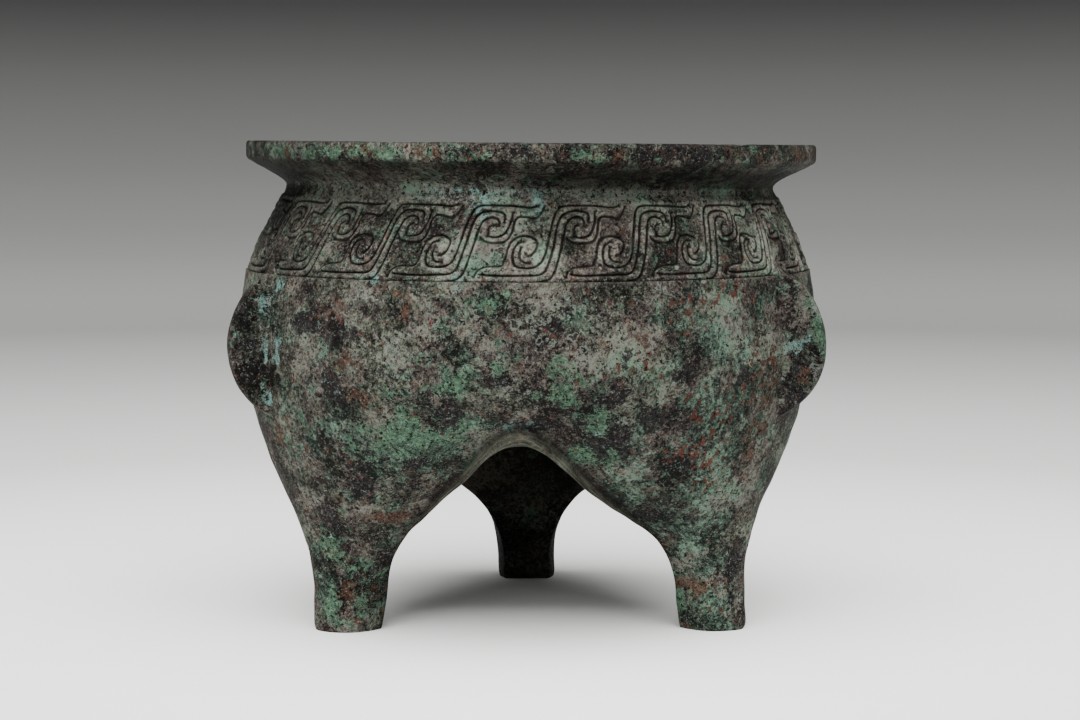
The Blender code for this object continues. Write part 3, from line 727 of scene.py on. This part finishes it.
def shoulder_and_rim():
    tile, tile_faces, pairs, low, high = motif_tile()
    own = [i for i in range(len(tile)) if i not in pairs]
    place = {i: k for k, i in enumerate(own)}
    count = len(own)
    flat = np.vstack([tile[own] + (n * PITCH, 0.0) for n in range(MOTIFS)])
    deep, cut, proud, edge = (np.tile(values[own], MOTIFS) for values in band_relief(tile))

    def number(n, i):
        if i in pairs:
            return ((n + 1) % MOTIFS) * count + place[pairs[i]]
        return n * count + place[i]

    faces = [tuple(number(n, i) for i in f) for n in range(MOTIFS) for f in tile_faces]
    low_ids = [number(n, i) for n in range(MOTIFS) for i in low]
    ring = [number(n, i) for n in range(MOTIFS) for i in high]

    # hand work: lines wander a little, and wear and crust leave some of them shallower
    turn = flat[:, 0] / MOTIF_R
    hold = rise(flat[:, 1], BAND_LOW, BAND_LOW + 3.0) * fall(flat[:, 1], 25.5, BAND_HIGH)
    spots = [Vector((math.cos(a) * MOTIF_R, math.sin(a) * MOTIF_R, v)) for a, v in zip(turn, flat[:, 1])]
    noise.seed_set(21)  # unseeded, this noise differs from run to run
    wander = np.array([noise.noise_vector(p / 9.0)[:2] for p in spots])
    worn = np.array([noise.noise(p / 16.0) for p in spots])
    flat = flat + wander * hold[:, None] * 0.38
    deep = deep * (1.0 - hold * np.clip(0.05 + 0.6 * worn, 0.0, 0.3))
    points = band_points(flat[:, 0], flat[:, 1], deep)
    normals = point_normals(points, faces)
    if (normals * (points - (0.0, AXIS_Y, 0.0))).sum(1).mean() < 0.0:
        normals = -normals
    moved = rumple(points, normals, ((11.0, 0.16), (3.2, 0.1)))
    points = points + (moved - points) * hold[:, None]

    columns = COLUMNS * MOTIFS
    turns = (SEAM[-1][0] + PITCH * np.arange(columns) / COLUMNS) / MOTIF_R + MOTIF_TURN
    rows = np.array([np.stack((radius * np.cos(turns), AXIS_Y + radius * np.sin(turns),
                               np.full(columns, z)), 1) for radius, z in RIM_PROFILE])
    down_profile = np.gradient(rows, axis=0).reshape(-1, 3)
    along = (np.roll(rows, -1, axis=1) - np.roll(rows, 1, axis=1)).reshape(-1, 3)
    out = np.cross(along, down_profile)
    out /= np.linalg.norm(out, axis=1)[:, None]
    smooth = rows.reshape(-1, 3)
    if out[0] @ (smooth[0] - (0.0, AXIS_Y, 0.0)) < 0.0:
        out = -out
    plain = rumple(smooth, out, ((30.0, 0.35), (9.0, 0.28), (3.4, 0.14)))
    push = (plain - smooth).reshape(rows.shape)
    push[0] *= 0.4
    push[-len(JOINT):] = 0.0
    rows = kept_within(rows + push, RIM_R)
    rows[..., 2] = np.minimum(rows[..., 2], HEIGHT)

    start = len(points)
    for r in range(len(RIM_PROFILE)):
        lower = ring
        ring = [start + r * columns + j for j in range(columns)]
        for j in range(columns):
            k = (j + 1) % columns
            faces.append((lower[j], lower[k], ring[k], ring[j]))
    points = np.vstack((points, rows.reshape(-1, 3)))
    faces += ring_between(by_azimuth(low_ids, points), by_azimuth(ring, points), points)

    row_of = np.repeat(np.arange(len(RIM_PROFILE)), columns)
    lip_end = len(NECK) + len(LIP) - 1.0
    band = np.zeros(start)
    rest = np.zeros(len(row_of))
    inner = rise(row_of.astype(float), lip_end, lip_end + 4.0)
    # the flare's underside, for soot and painted shade
    below = np.clip(-out[:, 2], 0.0, 1.0) * (row_of < len(NECK))
    return points, faces, {"inside": np.append(band, inner), "down": np.append(band, below),
                           "groove": np.append(cut, rest), "proud": np.append(proud, rest),
                           "edge": np.append(edge, rest)}


# -------- flanges
def flange_shape(azimuth, root_half=2.1, edge_half=1.6, fillet=3.2, edge_turn=1.1):
    """A half-round plate standing on edge over a leg, running into the body with hollow fillets."""
    heights = np.linspace(FLANGE_Z - FLANGE_HALF, FLANGE_Z + FLANGE_HALF, 99)
    points = []
    for z in heights:
        body = LOBE_R - LOBE_BEND * (z - LOBE_Z) ** 2
        chord = FLANGE_DISC_R ** 2 - (z - FLANGE_Z) ** 2
        edge = FLANGE_TIP_R - FLANGE_DISC_R + math.sqrt(chord) if chord > 0.0 else 70.0
        stand = edge - body
        tall = 0.5 * (stand + math.sqrt(stand * stand + 1.2)) - 0.06
        hollow = min(fillet, 0.55 * max(tall, 0.0))
        turn = min(edge_turn, 0.3 * max(tall, 0.0))
        side_top = max(tall - turn, hollow)
        half = [(root_half + hollow + 0.9, -1.3)]
        for k in range(9):
            a = math.radians(90.0 * k / 8.0)
            half.append((root_half + hollow * (1.0 - math.sin(a)), hollow * (1.0 - math.cos(a))))
        for k in range(1, 8):
            t = k / 7.0
            half.append((root_half + (edge_half - root_half) * t, hollow + (side_top - hollow) * t))
        for k in range(1, 7):
            a = math.radians(90.0 * k / 6.0)
            half.append((edge_half - turn * (1.0 - math.cos(a)), side_top + turn * math.sin(a)))
        full = half + [(0.0, tall)] + [(-t, h) for t, h in reversed(half)]
        for t, h in full:
            sag = t * t / (2.0 * body)
            points.append(leg_point(azimuth, body - 0.12 - sag + h, t, z)[:])
    section = len(points) // len(heights)
    points = np.array(points)
    faces = []
    for r in range(len(heights) - 1):
        for c in range(section):
            d = (c + 1) % section
            a = r * section
            b = a + section
            faces.append((a + c, a + d, b + d, b + c))
    faces.append(tuple(range(section)))
    faces.append(tuple(range(len(points) - section, len(points))))
    normals = point_normals(points, faces)
    if ((points - points.mean(0)) * normals).sum() < 0.0:
        normals = -normals
    moved = rumple(points, normals, ((18.0, 0.3), (6.0, 0.1), (2.2, 0.05)))
    # painted shade in the hollow fillets round the flange's root, carried as groove
    root = np.clip(1.0 - np.abs(reach_of(moved) - 90.5) / 2.2, 0.0, 1.0)
    return kept_within(moved, FLANGE_TIP_R), faces, {"down": np.clip(-normals[:, 2], 0.0, 1.0) * 0.5,
                                                     "groove": 0.3 * root}


# -------- patina
LIGHT = 2.26  # how much brighter the lit vessel looks than its own colour
FULL_LEVEL = 196.0  # the display level of a surface as bright as plain white


def tone(*levels):
    """The colour that looks like these 0-255 display levels on the lit vessel."""
    shares = [level / FULL_LEVEL for level in levels]
    return (*((0.05 * t * (1.0 - t) + 0.46 * t ** 2 + 0.54 * t ** 8) / LIGHT for t in shares), 1.0)


class Nodes:
    """Adds shader nodes and links them, so that a material reads as a list of steps."""

    def __init__(self, name):
        self.material = bpy.data.materials.new(name)
        self.material.use_nodes = True
        self.tree = self.material.node_tree
        self.shader = self.tree.nodes["Principled BSDF"]

    def link(self, socket, value):
        if isinstance(value, bpy.types.NodeSocket):
            self.tree.links.new(value, socket)
        elif value is not None:
            socket.default_value = value

    def add(self, kind, inputs, **settings):
        node = self.tree.nodes.new("ShaderNode" + kind)
        for key, value in settings.items():
            setattr(node, key, value)
        for key, value in inputs.items():
            self.link(node.inputs[key], value)
        return node

    def math(self, operation, a, b=0.0, c=None):
        return self.add("Math", {0: a, 1: b, 2: c}, operation=operation).outputs[0]

    def scaled(self, value, factor, base=None):
        """The value times the factor, plus the base if there is one."""
        return self.math("MULTIPLY" if base is None else "MULTIPLY_ADD", value, factor, base)

    def off(self, value, centre):
        """How far the value lies from the centre, either way."""
        return self.math("ABSOLUTE", self.math("SUBTRACT", value, centre))

    def place(self, scale, shift=(0.0, 0.0, 0.0)):
        """The point on the object, counted in units of 1 / scale millimetres."""
        coordinates = self.add("TexCoord", {}).outputs["Object"]
        scales = (scale,) * 3 if isinstance(scale, float) else scale
        return self.add("Mapping", {"Vector": coordinates, "Location": shift,
                                              "Scale": tuple(s / MM for s in scales)}).outputs[0]

    def noise(self, vector, detail, rough, output="Fac"):
        return self.add("TexNoise", {"Vector": vector, "Scale": 1.0, "Detail": detail,
                                               "Roughness": rough}).outputs[output]

    def cells(self, vector):
        return self.add("TexVoronoi", {"Vector": vector, "Scale": 1.0})

    def attribute(self, name):
        return self.add("Attribute", {}, attribute_name=name).outputs["Fac"]

    def step(self, value, low, high):
        return self.add("MapRange", {"Value": value, "From Min": low, "From Max": high},
                        interpolation_type="SMOOTHSTEP").outputs[0]

    def mix(self, share, a, b, blend="MIX"):
        node = self.add("Mix", {0: share, 6: a, 7: b}, data_type="RGBA", blend_type=blend)
        return node.outputs[2]

    def over(self, below, share, most, colour):
        """A colour laid over what is below it, by its share and at most so much."""
        return self.mix(self.scaled(share, most), below, colour)

    def ramp(self, value, stops):
        node = self.add("ValToRGB", {0: value})
        band = node.color_ramp
        while len(band.elements) < len(stops):
            band.elements.new(0.5)
        for element, (position, colour) in zip(band.elements, stops):
            element.position = position
            element.color = colour
        return node.outputs[0]

    def shades(self, value, *stops):
        """Colours by value, each stop a position and the three display levels there."""
        return self.ramp(value, [(at, tone(*levels)) for at, *levels in stops])


def patina():
    """Old patina: a grey-brown crust broken by green, black, rust-red and pale minerals."""
    n = Nodes("bronze_patina")
    masks = {kind: n.attribute(kind) for kind in ALL_PATCHES}
    warp = n.noise(n.place(0.45), 3.0, 0.62, "Color")
    bend = n.add("VectorMath", {0: warp, 3: 1.1}, operation="SCALE").outputs[0]

    def bent(scale, shift):
        place = n.place(scale, shift)
        return n.add("VectorMath", {0: place, 1: bend}, operation="ADD").outputs[0]

    def patch(kind, amount, scale, shift, detail, rough, low, high):
        """Where a mineral lies: its mask broken up by a noise of its own."""
        lie = n.noise(bent(scale, shift), detail, rough)
        return n.step(n.scaled(masks[kind], amount, lie), low, high)

    def swing(value, amount, base):
        """The base, moved up and down by a noise about its middle."""
        return n.scaled(n.math("SUBTRACT", value, 0.5), amount, base)

    # the crust: grains down to a third of a millimetre, over drifts as wide as a finger
    grain = n.noise(bent(0.55, (3.0, 1.0, 7.0)), 5.0, 1.0)
    cloud = n.noise(bent(0.055, (9.0, 4.0, 2.0)), 4.0, 0.78)
    crumb = n.cells(bent(1.15, (1.0, 4.0, 2.0))).outputs["Color"]
    flake = n.noise(bent(0.15, (13.0, 6.0, 4.0)), 7.0, 0.68)
    level = swing(grain, n.scaled(n.attribute("proud"), -0.16, 0.52), 0.478)
    level = swing(cloud, 0.88, level)
    for edge in (0.47, 0.53):
        level = n.scaled(n.step(flake, edge - 0.006, edge + 0.006), 0.026, level)
    level = swing(crumb, 0.06, level)
    level = n.scaled(masks["pale"], 0.035, level)
    level = n.scaled(masks["dark"], -0.03, level)
    spots = (0.415, 0.443, 0.471, 0.5, 0.529, 0.562, 0.605)

    def crust(*colours):
        return n.shades(level, *((spot, *colour) for spot, colour in zip(spots, colours)))

    warm = crust((24, 20, 20), (46, 38, 37), (68, 57, 54), (89, 76, 71), (106, 96, 89), (123, 117, 108),
                 (143, 143, 133))
    olive = crust((22, 23, 17), (42, 42, 35), (60, 61, 51), (79, 81, 69), (98, 100, 88), (119, 122, 109),
                  (146, 150, 138))
    teal = crust((22, 27, 23), (38, 46, 40), (55, 69, 59), (71, 90, 77), (87, 108, 94), (106, 128, 112),
                 (136, 158, 142))
    hue = n.noise(bent(0.07, (2.0, 8.0, 5.0)), 6.0, 0.66)
    colour = n.mix(n.step(hue, 0.475, 0.555), warm, olive)
    colour = n.mix(patch("teal", 0.1, 0.11, (1.0, 12.0, 3.0), 8.0, 0.7, 0.53, 0.6), colour, teal)

    # thick mint-green patches with lacy edges
    mint_share = patch("mint", 0.19, 0.16, (11.0, 5.0, 2.0), 8.0, 0.68, 0.605, 0.62)
    mint = n.shades(grain, (0.42, 58, 84, 68), (0.47, 80, 110, 90), (0.53, 99, 133, 109),
                    (0.59, 130, 161, 137))
    colour = n.over(colour, mint_share, 0.9, mint)

    # purple-black bare oxide
    dark_share = patch("dark", 0.17, 0.15, (4.0, 17.0, 9.0), 8.0, 0.7, 0.595, 0.62)
    dark = n.shades(grain, (0.42, 18, 15, 17), (0.5, 35, 30, 32), (0.56, 50, 45, 46),
                    (0.63, 104, 101, 100))
    colour = n.over(colour, dark_share, 0.92, dark)

    # rust-brown ground and red flecks
    rust_share = patch("rust", 0.16, 0.24, (8.0, 3.0, 21.0), 6.0, 0.66, 0.6, 0.66)
    rust = n.shades(grain, (0.42, 56, 38, 31), (0.5, 94, 64, 50), (0.6, 133, 100, 80))
    colour = n.over(colour, rust_share, 0.85, rust)
    red_share = patch("red", 0.122, (0.48, 0.48, 0.28), (5.0, 2.0, 3.0), 3.0, 0.55, 0.685, 0.7)
    red = n.shades(grain, (0.44, 90, 46, 38), (0.56, 126, 66, 53))
    colour = n.over(colour, red_share, 0.9, red)

    # ring-shaped growths, pale crystals and cyan-white specks
    growth = n.cells(bent(0.26, (2.0, 2.0, 2.0))).outputs["Distance"]
    ring_share = n.scaled(n.step(n.off(growth, 0.3), 0.08, 0.04), n.step(masks["rings"], 0.15, 0.6))
    colour = n.over(colour, ring_share, 0.85, tone(136, 142, 132))
    core_share = n.scaled(n.step(growth, 0.22, 0.14), n.step(masks["rings"], 0.2, 0.6))
    colour = n.over(colour, core_share, 0.75, tone(46, 43, 42))
    pale_share = patch("pale", 0.12, 0.6, (1.0, 9.0, 13.0), 4.0, 0.72, 0.62, 0.66)
    pale = n.shades(grain, (0.42, 104, 104, 99), (0.6, 170, 170, 168))
    colour = n.over(colour, pale_share, 0.7, pale)
    cyan_share = patch("cyan", 0.21, 0.4, (6.0, 1.0, 3.0), 6.0, 0.72, 0.64, 0.67)
    cyan = n.shades(grain, (0.42, 96, 124, 116), (0.58, 156, 180, 176))
    colour = n.over(colour, cyan_share, 0.85, cyan)
    speck = n.noise(n.place(1.7, (7.0, 7.0, 7.0)), 2.0, 0.6)
    colour = n.over(colour, n.step(speck, 0.62, 0.68), 0.6, tone(156, 164, 154))

    # cracks and pits
    crack = n.step(n.off(flake, 0.47), 0.007, 0.002)
    colour = n.over(colour, crack, 0.45, tone(22, 20, 19))
    pit = n.noise(n.place(0.95, (2.0, 5.0, 1.0)), 3.0, 0.7)
    pit_share = n.step(n.scaled(mint_share, -0.012, pit), 0.415, 0.398)
    colour = n.over(colour, pit_share, 0.92, tone(16, 14, 13))

    # the arches' edges: fine lines drawn along a lighter strip, partly its own worn colour and partly
    # painted light, under a painted shade line along the crease
    spot = n.add("SeparateXYZ", {0: n.place(0.1)})
    sweep = n.add("CombineXYZ", {0: n.scaled(n.attribute("across"), 6.0),
                                           1: spot.outputs[0], 2: spot.outputs[2]}).outputs[0]
    line = n.shades(n.noise(sweep, 4.0, 0.7), (0.38, 40, 39, 32), (0.5, 92, 91, 79), (0.62, 136, 136, 120))
    colour = n.over(colour, n.attribute("arch"), 0.68, line)
    colour = n.over(colour, n.attribute("crease"), 0.75, tone(22, 19, 18))

    # worn edges of the engraved ribbons, partly their own wear and partly a painted highlight, and a
    # painted highlight line along the body's top edge
    worn = n.scaled(n.attribute("edge"), n.step(grain, 0.46, 0.56))
    colour = n.over(colour, worn, 0.65, tone(136, 136, 127))
    # dark dirt in the engraved lines, and painted shade in the hollows at the flanges' roots
    colour = n.over(colour, n.step(n.attribute("groove"), 0.08, 0.8), 0.84, tone(15, 13, 10))

    # painted light and shade from the keep attribute, then soot and painted shade on what faces down,
    # under the belly and inside
    colour = n.mix(1.0, colour, n.attribute("keep"), "MULTIPLY")
    soot_and_shade = n.scaled(n.step(n.attribute("down"), 0.6, 1.0), 0.4)
    soot_and_shade = n.math("MAXIMUM", soot_and_shade, n.scaled(n.attribute("hub"), 0.88))
    soot_and_shade = n.math("MAXIMUM", soot_and_shade, n.scaled(n.attribute("inside"), 0.55))
    colour = n.mix(soot_and_shade, colour, n.mix(1.0, colour, (0.16, 0.13, 0.1, 1.0), "MULTIPLY"))

    height = n.scaled(pit_share, -0.25, grain)
    bump = n.add("Bump", {"Strength": 0.8, "Distance": 0.0008, "Height": height})
    rough = n.scaled(dark_share, -0.15, n.scaled(level, 0.5, 0.45))
    n.link(n.shader.inputs["Base Color"], colour)
    n.link(n.shader.inputs["Roughness"], rough)
    n.link(n.shader.inputs["Normal"], bump.outputs[0])
    n.shader.inputs["Metallic"].default_value = 0.0
    n.shader.inputs["Specular IOR Level"].default_value = 0.04
    return n.material


# -------- dressing and studio
# what a shape tells the patina about its points
TOLD = ("inside", "down", "groove", "proud", "edge", "arch", "across", "crease", "hub")


def dress(name, shape, material, flange=None):
    """Make a piece of the vessel, set its patina and say what it stands for."""
    points, faces, told = shape
    attributes = {kind: np.zeros(len(points)) for kind in TOLD}
    attributes.update(told)
    attributes.update(mineral_masks(points, flange))
    attributes["keep"] = painted_light_and_shade(points, attributes["proud"], flange)
    piece = make_piece(name, cast_true(points), faces, attributes)
    piece.data.materials.append(material)
    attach(piece, "root")
    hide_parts("li_vessel")


# the floor's section in metres: a level disc that sweeps up all round
FLOOR_PROFILE = ((0.9, 0.0), (1.25, 0.0), (1.36, 0.01), (1.46, 0.05), (1.53, 0.12), (1.57, 0.22),
                 (1.59, 0.36), (1.6, 0.6), (1.6, 1.3))
FLOOR_SIDES = 96
# its painted light falloff: bright near the middle and darker out and up the sweep, by distance out plus
# twice the height, as a share of FLOOR_LENGTH
FLOOR_PAINTED_FALLOFF = ((0.0, 0.97), (0.07, 0.82), (0.17, 0.52), (0.34, 0.41), (0.583, 0.33), (0.678, 0.19),
                (0.757, 0.122), (0.826, 0.076), (0.884, 0.0275))
FLOOR_LENGTH = 2.4
FOCAL_LENGTH = 86.333  # in millimetres, on a sensor 36 mm wide
CAMERA_PLACE = (0.00341, AXIS_Y * MM - 0.803, 0.1452)  # in metres
CAMERA_TILT = 4.783  # degrees below level


def floor_sweep():
    points = []
    faces = [tuple(range(FLOOR_SIDES))]
    turns = [2 * math.pi * k / FLOOR_SIDES for k in range(FLOOR_SIDES)]
    for radius, z in FLOOR_PROFILE:
        points += [(radius * math.cos(turn), radius * math.sin(turn), z) for turn in turns]
    for row in range(len(FLOOR_PROFILE) - 1):
        a = row * FLOOR_SIDES
        b = a + FLOOR_SIDES
        for k in range(FLOOR_SIDES):
            m = (k + 1) % FLOOR_SIDES
            faces.append((a + m, a + k, b + k, b + m))
    mesh = new_mesh("Floor", points, faces)
    for polygon in mesh.polygons:
        polygon.use_smooth = True
    floor = placed("Floor", mesh)
    n = Nodes("floor_paper")
    place = n.add("SeparateXYZ", {0: n.add("TexCoord", {}).outputs["Object"]})
    squares = n.math("ADD", n.math("POWER", place.outputs[0], 2.0), n.math("POWER", place.outputs[1], 2.0))
    # the floor's painted light falloff: darker out and up the sweep
    way = n.scaled(place.outputs[2], 2.0, n.math("SQRT", squares))
    shades = [(at, (level, level * 0.995, level * 0.98, 1.0)) for at, level in FLOOR_PAINTED_FALLOFF]
    n.link(n.shader.inputs["Base Color"], n.ramp(n.math("DIVIDE", way, FLOOR_LENGTH), shades))
    n.shader.inputs["Roughness"].default_value = 0.9
    floor.data.materials.append(n.material)


def soft_light(name, place, target, size, watts):
    light = bpy.data.lights.new(name, "AREA")
    light.shape = "RECTANGLE"
    light.size, light.size_y = size
    light.energy = watts
    lamp = placed(name, light)
    lamp.location = place
    lamp.rotation_euler = (Vector(target) - Vector(place)).to_track_quat("-Z", "Y").to_euler()


def studio():
    """A pale floor that sweeps up all round, soft lights above and the camera in front."""
    floor_sweep()
    soft_light("Overhead", (0.0, -0.35, 1.15), (0.0, 0.0, 0.05), (2.1, 1.8), 84.0)
    soft_light("Front_fill", (-0.25, -1.45, 0.75), (0.0, 0.0, 0.08), (1.3, 0.8), 14.0)
    world = bpy.data.worlds.new("Studio")
    world.use_nodes = True
    background = world.node_tree.nodes["Background"]
    background.inputs[0].default_value = (0.5, 0.5, 0.5, 1.0)
    background.inputs[1].default_value = 0.12
    bpy.context.scene.world = world

    lens = bpy.data.cameras.new("Camera")
    lens.sensor_width = 36.0
    lens.lens = FOCAL_LENGTH
    lens.clip_end = 20.0
    camera = placed("Camera", lens)
    camera.location = CAMERA_PLACE
    camera.rotation_euler = (math.radians(90.0 - CAMERA_TILT), 0.0, 0.0)
    bpy.context.scene.camera = camera


# -------- the scene
bronze = patina()
dress("body_and_legs", body_and_legs(), bronze)
dress("shoulder_and_rim", shoulder_and_rim(), bronze)
for azimuth, name in zip(LEG_AZ, ("flange_back", "flange_left", "flange_right")):
    dress(name, flange_shape(azimuth), bronze, azimuth)
studio()
